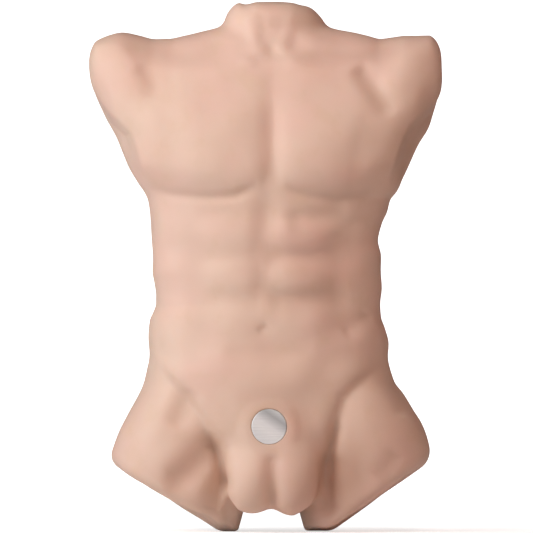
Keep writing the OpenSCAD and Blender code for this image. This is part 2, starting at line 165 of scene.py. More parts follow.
neck = {
    "left": [(560, 66), (640, 64), (655, 60), (667, 57), (675, 54.5), (686, 52), (700, 50)],
    "right": [(560, 84), (640, 85), (655, 84), (667, 80), (675, 77), (686, 71), (700, 66)],
    "front": [(560, 40), (620, 50), (650, 53), (675, 52), (700, 50)],
    "back": [(560, 72), (620, 70), (650, 62), (675, 56), (700, 52)],
    "top": [(-60, 693), (-45, 696), (-36, 699), (-26, 697), (-10, 700), (10, 700), (35, 699), (48, 696),
            (60, 695), (80, 690)],
    "square": 2.1, "domeDrop": 0.0022, "domeMiddle": 2, "topRound": 20, "foot": 560, "footRound": 10,
}


def neckField(x, y, z):
    reachX = np.where(x < 0, curve(z, neck["left"]), curve(z, neck["right"]))
    reachY = np.where(y < 0, curve(z, neck["front"]), curve(z, neck["back"]))
    d = ringDistance(x, y, reachX, reachY, neck["square"])
    top = curve(x, neck["top"]) - neck["domeDrop"] * (y - neck["domeMiddle"]) ** 2
    return cutWith(cutWith(d, z - top, neck["topRound"]), neck["foot"] - z, neck["footRound"])


thighs = {
    -1: {"outer": [(250, 128), (238, 136), (216, 152), (195, 161), (174, 171), (153, 182), (132, 193),
                   (110, 201), (98, 205), (60, 214), (-20, 220)],
         "inner": [(250, 66), (238, 60), (205, 34), (172, 12), (136, 8), (104, 14), (60, 22), (30, 28),
                   (12, 33), (-20, 44)],
         "cutAt": -60, "slope": 32.2},
    1: {"outer": [(250, 134), (238, 143), (216, 160), (195, 172), (184, 181), (163, 195), (142, 208),
                  (121, 215), (100, 219), (60, 225), (-20, 228)],
        "inner": [(250, 66), (238, 60), (205, 34), (172, 14), (136, 18), (104, 28), (60, 37), (30, 43),
                  (12, 48), (-20, 58)],
        "cutAt": 88, "slope": 35.7},
    "front": [(250, 48), (238, 56), (205, 75), (172, 82), (136, 84), (104, 83), (60, 79), (20, 74),
              (-20, 70)],
    "back": [(250, 48), (238, 58), (205, 88), (172, 102), (136, 108), (104, 106), (60, 101), (20, 94),
             (-20, 86)],
    "square": 2.25, "cutRound": 17, "top": 240, "topRound": 40,
}


def thighField(x, y, z, side):
    one = thighs[side]
    outer, inner = curve(z, one["outer"]), curve(z, one["inner"])
    reachY = np.where(y < 0, curve(z, thighs["front"]), curve(z, thighs["back"]))
    d = ringDistance(x - side * (outer + inner) / 2, y, (outer - inner) / 2, reachY, thighs["square"])
    c, s = math.cos(math.radians(one["slope"])), math.sin(math.radians(one["slope"]))
    d = cutWith(d, side * (x - one["cutAt"]) * s - z * c, thighs["cutRound"])
    return cutWith(d, z - thighs["top"], thighs["topRound"])


seat = [((-64, 46, 152), (74, 72, 84)), ((78, 46, 152), (74, 72, 84))]
groin = {"lobes": [((-17, -67, 66), (37, 37, 41)), ((37, -67, 66), (38, 37, 43))],
         "mound": ((9, -54, 120), (74, 47, 76))}
# the fillet where each form meets the next
joins = {"neck": 9, "seat": 20, "thigh": 22, "lobes": 13, "mound": 26, "pouch": 8, "floor": 5}


def baseField(x, y, z):
    d = blendIn(trunkField(x, y, z), neckField(x, y, z), joins["neck"])
    for at, radii in seat:
        d = blendIn(d, ellipsoid(x, y, z, at, radii), joins["seat"])
    for side in (-1, 1):
        d = blendIn(d, thighField(x, y, z, side), joins["thigh"])
    lobes = [ellipsoid(x, y, z, at, radii) for at, radii in groin["lobes"]]
    pouch = blendIn(lobes[0], lobes[1], joins["lobes"])
    pouch = blendIn(pouch, ellipsoid(x, y, z, *groin["mound"]), joins["mound"])
    return cutWith(blendIn(d, pouch, joins["pouch"]), -z, joins["floor"])


# soft strokes: side (-1 front, 1 back), width, depth (below 0 raises a ridge), points across and up
strokes = [
    (-1, 14, 1.9, [(-205, 645), (-151, 636), (-105, 628), (-39, 628)]),
    (-1, 12, 3.0, [(42, 633), (67, 628), (129, 629), (191, 640)]),
    (-1, 13, -1.0, [(-165, 618), (-110, 610), (-60, 610), (-8, 618)]),
    (-1, 13, -1.2, [(26, 618), (70, 609), (120, 610), (170, 620)]),
    (-1, 9, -1.4, [(-26, 692), (-20, 665), (-10, 642), (2, 628)]),
    (-1, 9, -1.4, [(36, 690), (32, 665), (24, 645), (16, 628)]),
    (-1, 6, 0.8, [(-6, 690), (-3, 668), (-1, 650)]),
    (-1, 13, 2.2, [(-170, 616), (-158, 602), (-150, 586), (-146, 566)]),
    (-1, 13, 6.5, [(118, 618), (130, 600), (144, 580), (158, 560), (168, 546)]),
    (-1, 16, 1.2, [(6, 620), (7, 580), (8, 540), (9, 500)]),
    (-1, 13, 1.8, [(8, 570), (9, 530), (9, 490), (8, 452)]),
    (-1, 17, 4.2, [(4, 452), (-1, 420), (-2, 380), (-2, 340), (-2, 292)]),
    (-1, 7, 3.6, [(-152, 452), (-118, 445), (-75, 441), (-40, 443), (-6, 457)]),
    (-1, 8, 4.0, [(20, 456), (56, 444), (92, 439), (128, 444), (150, 456)]),
    (-1, 14, 1.7, [(-92, 366), (-60, 362), (-20, 362), (0, 362)]),
    (-1, 19, 4.0, [(-4, 362), (40, 362), (76, 366), (108, 374)]),
    (-1, 17, 2.3, [(-84, 312), (-50, 307), (-16, 305), (6, 306)]),
    (-1, 20, 5.4, [(-6, 308), (40, 305), (76, 309), (112, 318)]),
    (-1, 14, 1.3, [(-96, 420), (-60, 413), (-20, 412)]),
    (-1, 15, 3.4, [(24, 408), (56, 414), (84, 420), (112, 430)]),
    (-1, 22, 2.6, [(-84, 412), (-94, 396), (-94, 340), (-88, 290), (-80, 244)]),
    (-1, 22, 3.2, [(92, 412), (104, 396), (102, 340), (98, 290), (88, 240)]),
    (-1, 12, 3.0, [(100, 262), (120, 276), (140, 290)]),
    (-1, 14, 2.0, [(-60, 240), (-20, 236), (24, 236), (66, 244)]),
    (-1, 12, 4.5, [(160, 232), (140, 214), (120, 198), (101, 178), (90, 148), (83, 110), (80, 74), (82, 44)]),
    (-1, 12, 2.4, [(-140, 222), (-116, 196), (-94, 172), (-76, 142), (-60, 108), (-56, 80)]),
    (-1, 9, 5.0, [(97, 158), (90, 126), (84, 96), (81, 66), (80, 40)]),
    (-1, 15, 7.0, [(86, 108), (83, 82), (81, 56), (82, 16)]),
    (-1, 9, 4.5, [(-74, 136), (-62, 106), (-55, 78), (-50, 50)]),
    (-1, 14, 3.4, [(-98, 194), (-104, 176), (-114, 154), (-124, 136)]),
    (-1, 17, -3.2, [(-82, 160), (-98, 128), (-124, 100), (-152, 84)]),
    (-1, 17, 6.0, [(-62, 128), (-84, 98), (-112, 72), (-134, 58)]),
    (-1, 11, -1.8, [(-62, 88), (-80, 66), (-96, 46)]),
    (-1, 16, 3.0, [(-50, 84), (-62, 58), (-70, 34), (-74, 10)]),
    (-1, 12, 2.5, [(166, 200), (176, 176), (180, 150)]),
    (-1, 14, 2.5, [(176, 110), (160, 84), (148, 66)]),
    (-1, 11, 4.5, [(8, 112), (9, 92), (9, 60), (9, 30)]),
    (1, 13, 8.0, [(5, 650), (6, 560), (6, 460), (6, 380), (6, 300), (7, 225)]),
    (1, 10, 14.0, [(7, 226), (7, 190), (7, 150), (7, 112), (7, 84)]),
    (1, 12, 4.5, [(-40, 590), (-52, 540), (-66, 500), (-104, 462)]),
    (1, 12, 4.5, [(52, 590), (64, 540), (78, 500), (116, 462)]),
    (1, 9, -3.0, [(-190, 622), (-140, 606), (-80, 592), (-48, 588)]),
    (1, 9, -3.0, [(200, 622), (152, 606), (92, 592), (60, 588)]),
    (1, 14, 7.0, [(-130, 78), (-90, 70), (-55, 72), (-25, 84)]),
    (1, 14, 7.0, [(144, 78), (104, 70), (69, 72), (39, 84)]),
]
# soft mounds: side, place across and up, reach across and up, turn, height, firmness of the edge
# (a height below 0 is a hollow)
mounds = [
    (-1, (-196, 598), (34, 44), 8, 4.0, 1.3), (-1, (196, 590), (36, 48), -8, 7.0, 1.3),
    (-1, (-16, 646), (10, 16), 0, 1.2, 1.0), (-1, (42, 641), (15, 13), 0, -3.0, 1.0),
    (-1, (-62, 642), (22, 10), 0, -1.5, 1.0), (-1, (11, 632), (11, 9), 0, -3.0, 1.0),
    (-1, (-22, 620), (12, 9), 0, 2.0, 1.0), (-1, (36, 618), (13, 9), 0, 2.0, 1.0),
    (-1, (-46, 394), (42, 22), 0, 2.2, 1.6), (-1, (48, 390), (46, 22), 0, 5.4, 1.8),
    (-1, (-38, 338), (40, 22), 0, 2.4, 1.6), (-1, (40, 336), (42, 22), 0, 5.0, 1.8),
    (-1, (-44, 280), (44, 22), 0, 2.4, 1.6), (-1, (42, 280), (44, 22), 0, 3.0, 1.6),
    (-1, (-2, 270), (15, 12), 0, -1.2, 1.0), (-1, (0, 208), (64, 26), 0, 2.5, 1.5),
    (-1, (-72, 220), (28, 20), 0, 3.0, 1.2), (-1, (54, 206), (34, 24), 0, 2.0, 1.2),
    (-1, (-146, 150), (28, 50), 24, 3.0, 1.3), (-1, (150, 140), (40, 60), -26, 4.0, 1.3),
    (-1, (86, 92), (13, 32), 4, -2.0, 1.0), (-1, (-56, 82), (11, 34), -8, -4.0, 1.0),
    (-1, (122, 256), (28, 38), -20, 2.2, 1.2), (-1, (-118, 268), (24, 34), 20, 2.0, 1.2),
    (-1, (118, 344), (20, 16), 20, 2.4, 1.2), (-1, (126, 392), (20, 14), 30, 2.2, 1.2),
    (-1, (-122, 398), (20, 14), -30, 1.4, 1.2), (-1, (-124, 352), (20, 14), -30, 1.4, 1.2),
    (-1, (-80, 540), (52, 40), 10, 2.2, 1.2), (-1, (84, 520), (50, 48), -10, 2.6, 1.2),
    (-1, (-86, 480), (44, 20), 0, 1.8, 1.2), (-1, (96, 476), (44, 22), 0, 2.6, 1.2),
    (1, (-92, 536), (56, 62), 14, 7.0, 1.4), (1, (104, 536), (56, 62), -14, 7.0, 1.4),
    (1, (-30, 330), (20, 95), 0, 4.5, 1.3), (1, (42, 330), (20, 95), 0, 4.5, 1.3),
    (1, (-40, 222), (13, 13), 0, -3.5, 1.0), (1, (52, 222), (13, 13), 0, -3.5, 1.0),
    (1, (-40, 628), (40, 26), 20, 5.0, 1.3), (1, (58, 628), (40, 26), -20, 5.0, 1.3),
    (1, (-190, 588), (34, 46), 0, 5.0, 1.3), (1, (196, 588), (34, 46), 0, 5.0, 1.3),
]
chest = {"midline": 9, "gap": 4, "soft": 10, "edge": 6, "lift": 9.5, "fadeUp": (486, 84), "fadeOut": (96, 62),
         "crease": [(-160, 456), (-118, 446), (-75, 441), (-40, 443), (-8, 456), (9, 476), (26, 456),
                    (60, 443), (95, 440), (128, 445), (160, 458)]}
# the folds from the armpits down: inside them the skin rises, outside it drops
armFolds = {
    "foot": (452, 492), "head": (606, 560), "across": (100, 140), "edge": (222, 196), "facing": (74, 20),
    "riseNear": (4, -7), "riseFar": (-64, -14), "dropNear": (-5, 6), "dropFar": (70, 26),
    "folds": [
        {"turned": -1, "rise": 7, "drop": 6, "points": [
            (-231, 582), (-213, 557), (-197, 540), (-181, 524), (-172, 500), (-166, 478), (-158, 462)]},
        {"turned": 1, "rise": 9, "drop": 10, "points": [
            (232, 572), (212, 552), (194, 534), (186, 520), (180, 504), (174, 484), (168, 466)]}]}
# the folds of the groin: outside them the thigh lies lower
thighFolds = {"head": (240, 190), "across": (34, 52), "near": (-8, 6), "foot": (56, 22), "folds": [
    {"turned": 1, "drop": 4.5, "far": (190, 40),
     "points": [(164, 238), (142, 216), (120, 199), (101, 179), (90, 148), (83, 110), (80, 74), (80, 30)]},
    {"turned": -1, "drop": 8, "far": (96, 10),
     "points": [(-142, 226), (-114, 192), (-93, 167), (-76, 142), (-62, 112), (-57, 80), (-57, 30)]}]}
deepestGroove = -18.0  # no groove reaches the foam under the skin
navel = {"points": [(-11, 262), (-4, 268), (4, 275)], "width": 4.0, "depth": 1.5}


def strokeShare(x, z, points, width):  # 1 on the stroke, fading across it and towards its ends
    points = np.array(points, float)
    lengths = np.hypot(*np.diff(points, axis=0).T)
    total, run = lengths.sum(), 0.0
    best, along = np.full(x.shape, 1e9), np.zeros(x.shape)
    for (ax, az), (bx, bz), length in zip(points[:-1], points[1:], lengths):
        t = np.clip(((x - ax) * (bx - ax) + (z - az) * (bz - az)) / length ** 2, 0, 1)
        d = np.hypot(x - ax - t * (bx - ax), z - az - t * (bz - az))
        closer = d < best
        best = np.where(closer, d, best)
        along = np.where(closer, (run + t * length) / total, along)
        run += length
    return np.exp(-(best / width) ** 2) * ramp(along, -0.02, 0.22) * ramp(along, 1.02, 0.78)


def sideOf(x, z, points):  # distance off a fold line, above 0 on the outer, lower side
    points = np.array(points, float)
    best, sign = np.full(x.shape, 1e9), np.zeros(x.shape)
    for (ax, az), (bx, bz) in zip(points[:-1], points[1:]):
        length = math.hypot(bx - ax, bz - az)
        t = np.clip(((x - ax) * (bx - ax) + (z - az) * (bz - az)) / length ** 2, 0, 1)
        d = np.hypot(x - ax - t * (bx - ax), z - az - t * (bz - az))
        cross = ((bx - ax) * (z - az) - (bz - az) * (x - ax)) / length
        closer = d < best
        best = np.where(closer, d, best)
        sign = np.where(closer, np.sign(cross), sign)
    return best * sign


def facingShare(y):  # how far a place belongs to the front, -1, or to the back, 1
    return {-1: ramp(y, 14, -34), 1: ramp(y, -14, 34)}


unevenness = {"seed": 11, "waves": 26, "shortest": 38, "longest": 95, "height": 0.16}
waves = np.random.default_rng(unevenness["seed"])
lumps = [(waves.normal(size=3), waves.uniform(0, 2 * math.pi),
          waves.uniform(unevenness["shortest"], unevenness["longest"])) for _ in range(unevenness["waves"])]


def handWork(x, y, z):  # the slight unevenness of a hand-sculpted master
    total = np.zeros(x.shape)
    for direction, phase, length in lumps:
        u = direction / np.linalg.norm(direction)
        swing = np.sin((x * u[0] + y * u[1] + z * u[2]) * 2 * math.pi / length + phase)
        total += length / unevenness["longest"] * swing
    return total * unevenness["height"]


# painted shade, a browner colour where the hollows fall into shade: place, reach, how much
paintedShadePatches = [((106, 76), (30, 50), 1.5), ((52, 58), (28, 36), 0.9), ((-68, 40), (20, 34), 0.4),
        ((8, 172), (54, 44), 0.5), ((206, 500), (26, 58), 1.1), ((150, 262), (26, 60), 0.3),
        ((128, 214), (24, 34), 0.3), ((158, 118), (60, 60), 0.25), ((150, 528), (30, 46), 0.3),
        ((60, 668), (18, 22), 0.6), ((-205, 606), (44, 50), 0.3), ((0, 60), (60, 30), 0.2)]
fullCrease, mostCrease = 9, 1.5  # a groove this deep counts as 1, and none counts for more than this


def paintedShadeShare(x, y, z):  # how much painted shade a place gets, in a groove or in a shaded hollow
    facing = facingShare(y)
    total = np.zeros(x.shape)
    # painted shade: grooves are darkened in proportion to their depth
    for side, width, depth, points in strokes:
        if depth > 0:
            share = min(depth / fullCrease, mostCrease)
            total += facing[side] * share * strokeShare(x, z, points, width * 0.8)
    total += facing[-1] * 0.6 * strokeShare(x, z, navel["points"], navel["width"] * 1.5)
    for (mx, mz), (rx, rz), much in paintedShadePatches:
        total += much * facing[-1] * np.exp(-((x - mx) / rx) ** 2 - ((z - mz) / rz) ** 2)
    return np.clip(total, 0, mostCrease)


blush = [((34, 140), (20, 24), 1.0), ((-158, 596), (26, 24), 0.5), ((54, 604), (34, 20), 0.5),
         ((-156, 498), (26, 30), 0.6), ((-138, 372), (26, 60), 0.2), ((60, 396), (34, 22), 0.5),
         ((66, 340), (34, 22), 0.5), ((112, 344), (22, 22), 0.5), ((10, 232), (60, 30), 0.15),
         ((150, 110), (50, 50), 0.4), ((-100, 76), (40, 24), 0.4), ((120, 470), (40, 18), 0.5)]


def blushShare(x, y, z):  # rosy patches where the pigment is stronger
    total = np.zeros(x.shape)
    for (mx, mz), (rx, rz), much in blush:
        total += much * ramp(y, 20, -30) * np.exp(-((x - mx) / rx) ** 2 - ((z - mz) / rz) ** 2)
    return np.clip(total, 0, 1)


def relief(x, y, z):
    facing = facingShare(y)
    total = handWork(x, y, z)
    for side, width, depth, points in strokes:
        total -= facing[side] * depth * strokeShare(x, z, points, width)
    for side, (mx, mz), (rx, rz), turn, height, firm in mounds:
        c, s = math.cos(math.radians(turn)), math.sin(math.radians(turn))
        u, w = (c * (x - mx) + s * (z - mz)) / rx, (c * (z - mz) - s * (x - mx)) / rz
        total += facing[side] * height * np.exp(-((u * u + w * w) ** firm))
    across = np.abs(x - chest["midline"])
    rise = 1 / (1 + np.exp(-(z - curve(x, chest["crease"]) - chest["edge"]) / chest["soft"]))
    inner = 1 / (1 + np.exp(-(across - chest["gap"] - chest["edge"]) / chest["soft"]))
    (top, up), (side, out) = chest["fadeUp"], chest["fadeOut"]
    fade = np.exp(-(np.maximum(z - top, 0) / up) ** 2 - (np.maximum(across - side, 0) / out) ** 2)
    total += facing[-1] * chest["lift"] * rise * inner * fade
    for fold in armFolds["folds"]:
        off = sideOf(x, z, fold["points"]) * fold["turned"]
        near = ramp(z, *armFolds["foot"]) * ramp(z, *armFolds["head"]) * ramp(np.abs(x), *armFolds["across"])
        front = ramp(y, *armFolds["facing"]) * near * ramp(np.abs(x), *armFolds["edge"])
        total += front * fold["rise"] * ramp(off, *armFolds["riseNear"]) * ramp(off, *armFolds["riseFar"])
        lower = facing[-1] * near * fold["drop"]
        total -= lower * ramp(off, *armFolds["dropNear"]) * ramp(off, *armFolds["dropFar"])
    for fold in thighFolds["folds"]:
        off = sideOf(x, z, fold["points"]) * fold["turned"]
        near = ramp(z, *thighFolds["head"]) * ramp(x * fold["turned"], *thighFolds["across"])
        beyond = np.maximum(ramp(off, *thighFolds["near"]), ramp(z, *thighFolds["foot"]))
        total -= facing[-1] * near * fold["drop"] * beyond * ramp(off, *fold["far"])
    total -= facing[-1] * navel["depth"] * strokeShare(x, z, navel["points"], navel["width"])
    return np.maximum(total, deepestGroove)


plugLow, plugHigh = (np.array(c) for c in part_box("plug_face"))
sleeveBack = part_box("socket_sleeve")[1][1] * 1000
plugMid = (plugLow + plugHigh)[[0, 2]] / 2 / toMetres[[0, 2]]
plugMiddle = (plugLow[0] + plugHigh[0]) / 2, (plugLow[2] + plugHigh[2]) / 2  # in metres, as the next
faceReach = (plugHigh[0] - plugLow[0]) / 2
faceRadius = faceReach * 1000
pocket = {"radius": faceRadius + 0.3, "faceAt": plugLow[1] * 1000, "depthTo": sleeveBack + 4,
          "flat": 5.0, "lip": 0.9, "proud": 0.4, "blend": 16, "facing": (-60, -75)}


def figureField(x, y, z):
    d = baseField(x, y, z) - relief(x, y, z)
    out = np.hypot(x - plugMid[0], z - plugMid[1])
    level = pocket["faceAt"] + pocket["proud"] - y  # the skin is drawn level with the plug's face round it
    share = ramp(out, pocket["radius"] + pocket["flat"] + pocket["blend"], pocket["radius"] + 1)
    share = share * ramp(y, *pocket["facing"])
    d = d * (1 - share) + level * share
    hole = np.maximum(out - pocket["radius"], y - pocket["depthTo"])
    return cutWith(d, -hole, pocket["lip"])


def gridCells(field, low, high, step, band):  # values on a grid, exact only near the surface
    axes = [np.arange(low[i], high[i] + step, step) for i in range(3)]
    x, y, z = np.meshgrid(*axes, indexing="ij")
    rough = baseField(x, y, z)
    near = np.abs(rough) < band
    near |= (np.hypot(x - plugMid[0], z - plugMid[1]) < pocket["radius"] + 12) & (y < pocket["depthTo"] + 12)
    values = rough
    values[near] = field(x[near], y[near], z[near])
    return values, np.array([a[0] for a in axes])


def surfaceNet(values, origin, step):
    inside = values < 0
    cells = [n - 1 for n in values.shape]
    total, count = np.zeros(cells + [3]), np.zeros(cells)
    crossings = []
    for axis in range(3):
        a = [slice(None)] * 3
        b = [slice(None)] * 3
        a[axis], b[axis] = slice(None, -1), slice(1, None)
        va, vb = values[tuple(a)], values[tuple(b)]
        cross = inside[tuple(a)] != inside[tuple(b)]
        crossings.append((cross, inside[tuple(a)]))
        where = np.argwhere(cross)
        t = va[cross] / (va[cross] - vb[cross])
        point = where.astype(float)
        point[:, axis] += t
        others = [i for i in range(3) if i != axis]
        for da in (0, 1):
            for db in (0, 1):
                cell = where.copy()
                cell[:, others[0]] -= da
                cell[:, others[1]] -= db
                good = ((cell >= 0) & (cell < cells)).all(axis=1)
                index = tuple(cell[good].T)
                np.add.at(total, index, point[good])
                np.add.at(count, index, 1)
    used = count > 0
    label = np.full(cells, -1)
    label[used] = np.arange(used.sum())
    verts = origin + step * total[used] / count[used][:, None]
    quads = []
    for axis, (cross, startInside) in enumerate(crossings):
        where = np.argwhere(cross)
        o1, o2 = [(axis + 1) % 3, (axis + 2) % 3]
        corners = []
        for d1, d2 in ((1, 1), (0, 1), (0, 0), (1, 0)):
            cell = where.copy()
            cell[:, o1] -= d1
            cell[:, o2] -= d2
            corners.append(label[tuple(cell.T)])
        quad = np.stack(corners, axis=1)
        flip = ~startInside[cross]
        quad[flip] = quad[flip][:, ::-1]
        quads.append(quad)
    return verts, np.concatenate(quads)


def settle(points, field, rounds=3, limit=3.0):  # moves points onto the surface
    points = points.copy()
    h = 0.25
    for _ in range(rounds):
        x, y, z = points.T
        value = field(x, y, z)
        ahead = [field(x + h, y, z), field(x, y + h, z), field(x, y, z + h)]
        grad = np.stack([a - value for a in ahead], axis=1) / h
        move = -value[:, None] * grad / np.maximum((grad ** 2).sum(axis=1), 0.2)[:, None]
        size = np.linalg.norm(move, axis=1)
        points += move * np.minimum(1, limit / np.maximum(size, 1e-9))[:, None]
    return points


def newMesh(name, verts, faces, body, smooth=True):
    mesh = bpy.data.meshes.new(name)
    mesh.from_pydata([tuple(v) for v in verts], [], [tuple(int(i) for i in f) for f in faces])
    mesh.polygons.foreach_set("use_smooth", [smooth] * len(mesh.polygons))
    mesh.update()
    piece = bpy.data.objects.new(name, mesh)
    bpy.context.collection.objects.link(piece)
    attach(piece, body)
    return piece


skinMesh = {"step": 3.55, "band": 26.0, "refine": 33.0, "cuts": 2, "low": (-245, -130, -9),
            "high": (245, 130, 712)}
values, origin = gridCells(figureField, skinMesh["low"], skinMesh["high"], skinMesh["step"], skinMesh["band"])
verts, quads = surfaceNet(values, origin, skinMesh["step"])
verts = settle(verts, figureField, 2)
print("skin net", len(verts), "points", len(quads), "faces")

skinBmesh = bmesh.new()
for v in verts:
    skinBmesh.verts.new(v)
skinBmesh.verts.ensure_lookup_table()
for q in quads:
    if len(set(q)) == 4:
        skinBmesh.faces.new([skinBmesh.verts[int(i)] for i in q])
bmesh.ops.recalc_face_normals(skinBmesh, faces=skinBmesh.faces)


def roundPlug(point, reach, depth):  # whether a place is within reach of the plug, on the front
    x, y, z = point.T
    return (np.hypot(x - plugMid[0], z - plugMid[1]) < reach) & (y < depth)


closeVerts = {v for v in skinBmesh.verts if roundPlug(np.array(v.co), skinMesh["refine"], -60)}
nearEdges = [e for e in skinBmesh.edges if closeVerts.issuperset(e.verts)]
bmesh.ops.subdivide_edges(skinBmesh, edges=nearEdges, cuts=skinMesh["cuts"], use_grid_fill=True)
skinBmesh.verts.ensure_lookup_table()
settled = np.array([v.co for v in skinBmesh.verts])
close = roundPlug(settled, skinMesh["refine"] + 4, -50)
settled[close] = settle(settled[close], figureField, 4, 1.5)
for v, p in zip(skinBmesh.verts, settled):
    v.co = p
skinData = bpy.data.meshes.new("torsoSkin")
bmesh.ops.triangulate(skinBmesh, faces=[f for f in skinBmesh.faces if len(f.verts) > 4])
skinBmesh.to_mesh(skinData)
skinBmesh.free()
skinPoints = np.array([v.co for v in skinData.vertices])
low = skinPoints.min(axis=0)
scaled = skinPoints * toMetres
scaled[:, 2] = np.maximum(scaled[:, 2], lowCorner[2])
skinData.vertices.foreach_set("co", scaled.ravel())
skinData.polygons.foreach_set("use_smooth", [True] * len(skinData.polygons))
# the crease attribute carries painted shade for the grooves and shaded hollows
crease = skinData.attributes.new("crease", "FLOAT", "POINT")
crease.data.foreach_set("value", paintedShadeShare(*skinPoints.T))
rosy = skinData.attributes.new("rosy", "FLOAT", "POINT")
rosy.data.foreach_set("value", blushShare(*skinPoints.T))
skinData.update()
torsoSkin = bpy.data.objects.new("torsoSkin", skinData)
bpy.context.collection.objects.link(torsoSkin)
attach(torsoSkin, "torso")
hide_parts("torso_skin")
print("skin", len(skinData.vertices), "points", len(skinData.polygons), "faces", "lowest", low)


class Wire:  # a shader socket that takes part in sums
    def __init__(self, tree, socket):
        self.tree, self.socket = tree, socket

    def put(self, kind, settings=None, values=None, out=0):
        node = self.tree.nodes.new(kind)
        for key, value in (settings or {}).items():
            if key == "stops":
                elements = node.color_ramp.elements
                while len(elements) < len(value):
                    elements.new(0.5)
                for element, (place, colour) in zip(elements, value):
                    element.position = place
                    element.color = (*colour, 1)
            else:
                setattr(node, key, value)
        for key, value in (values or {}).items():
            if isinstance(value, Wire):
                self.tree.links.new(value.socket, node.inputs[key])
            else:
                node.inputs[key].default_value = value
        return Wire(self.tree, node.outputs[out])

    def maths(self, operation, *others):
        return self.put("ShaderNodeMath", {"operation": operation}, dict(enumerate([self, *others])))

    def __add__(self, other):
        return self.maths("ADD", other)

    def __radd__(self, other):
        return self.maths("ADD", other)

    def __sub__(self, other):
        return self.maths("SUBTRACT", other)

    def __rsub__(self, other):
        return self * -1 + other

    def __mul__(self, other):
        return self.maths("MULTIPLY", other)

    def __rmul__(self, other):
        return self.maths("MULTIPLY", other)

    def between(self, low, high):  # 0 at low, 1 at high
        return self.put("ShaderNodeMapRange", {"interpolation_type": "SMOOTHSTEP"},
                        {"Value": self, "From Min": low, "From Max": high})

    def tint(self, dark, light):  # a colour that goes from dark to light as this goes from 0 to 1
        dark = dark if isinstance(dark, Wire) else (*dark, 1)
        light = light if isinstance(light, Wire) else (*light, 1)
        return self.put("ShaderNodeMix", {"data_type": "RGBA"}, {"Factor": self, 6: dark, 7: light}, 2)


def newMaterial(name, **constants):
    material = bpy.data.materials.new(name)
    material.use_nodes = True
    tree = material.node_tree
    shader = tree.nodes["Principled BSDF"]
    for key, value in constants.items():
        shader.inputs[key.replace("_", " ")].default_value = value
    start = Wire(tree, None)
    place = start.put("ShaderNodeTexCoord", out=3)
    return material, shader, start, place


def feed(tree, wire, shader, name):
    tree.links.new(wire.socket, shader.inputs[name])


def skinFinish():
    # the fold brown is painted shade for grooves and shaded hollows
    look = {"light": (0.765, 0.55, 0.44), "rose": (0.77, 0.525, 0.43), "ochre": (0.72, 0.505, 0.37),
            "fold": (0.46, 0.26, 0.175), "blush": (0.80, 0.46, 0.36),
            "clouds": [(9.0, 2.0, 0.5), (26.0, 3.0, 0.55), (420.0, 3.0, 0.6)]}
    material, shader, start, place = newMaterial(
        "softElastomer", Subsurface_Weight=0.15, Subsurface_Scale=0.014, Specular_IOR_Level=0.45)
    shader.inputs["Subsurface Radius"].default_value = (1.0, 0.42, 0.25)
    tree = material.node_tree
    big, mid, fine = (start.put("ShaderNodeTexNoise", {}, {"Vector": place, "Scale": scale, "Detail": detail,
                                                          "Roughness": rough})
                      for scale, detail, rough in look["clouds"])
    pores = start.put("ShaderNodeTexVoronoi", {}, {"Vector": place, "Scale": 620.0})
    colour = big.between(0.42, 0.66).tint(look["light"], look["rose"])
    colour = (mid.between(0.5, 0.75) * 0.5).tint(colour, look["ochre"])
    # painted shade: the crease attribute turns the colour towards the fold brown in grooves and hollows where
    # shade falls
    folds = start.put("ShaderNodeAttribute", {"attribute_name": "crease"}, out=2)
    rosyShare = start.put("ShaderNodeAttribute", {"attribute_name": "rosy"}, out=2)
    colour = (rosyShare * 0.36).tint(colour, look["blush"])
    colour = (folds * 0.42).tint(colour, look["fold"])
    feed(tree, colour, shader, "Base Color")
    feed(tree, 0.52 + mid * 0.12, shader, "Roughness")
    bump = start.put("ShaderNodeBump", {}, {"Strength": 0.12, "Distance": 0.0004,
                                            "Height": fine * 0.6 + pores * 0.4})
    feed(tree, bump, shader, "Normal")
    return material


torsoSkin.data.materials.append(skinFinish())
print("skin finish")


def plateFinish():  # turned and brushed steel with a soft painted sheen, a reflection band of light and dark painted into its colour, that runs across it
    look = {"grainAlong": 14.0, "grainAcross": 900.0, "towards": (0.57, 0.82), "paintedSheen": [
            (0.0, (0.88, 0.90, 0.92)), (0.36, (1.0, 1.0, 1.0)), (0.52, (0.95, 0.95, 0.96)),
            (0.80, (0.52, 0.53, 0.54)), (1.0, (0.80, 0.82, 0.83))]}
    material, shader, start, place = newMaterial("brushedPlate", Metallic=0.3, Anisotropic=0.4)
    tree = material.node_tree
    axis = (look["towards"][0] / faceReach / 2, 0, look["towards"][1] / faceReach / 2)
    middle = (plugMiddle[0], 0, plugMiddle[1])
    # painted reflection: the colour runs through light and dark bands across the face
    offset = start.put("ShaderNodeVectorMath", {"operation": "SUBTRACT"}, {0: place, 1: middle})
    across = start.put("ShaderNodeVectorMath", {"operation": "DOT_PRODUCT"}, {0: offset, 1: axis}, 1)
    paintedSheen = (across + 0.5).put("ShaderNodeValToRGB", {"stops": look["paintedSheen"]}, {"Fac": across + 0.5})
    stretched = start.put("ShaderNodeVectorMath", {"operation": "MULTIPLY"},
                          {0: offset, 1: (look["grainAlong"], look["grainAcross"], look["grainAcross"])})
    grain = start.put("ShaderNodeTexNoise", {}, {"Vector": stretched, "Scale": 1.0, "Detail": 3.0})
    fine = (grain.between(0.3, 0.7) * 0.16).tint(paintedSheen, (0.30, 0.30, 0.31))
    feed(tree, fine, shader, "Base Color")
    feed(tree, 0.32 + grain * 0.16, shader, "Roughness")
    bump = start.put("ShaderNodeBump", {}, {"Strength": 0.10, "Distance": 0.0002, "Height": grain})
    feed(tree, bump, shader, "Normal")
    return material


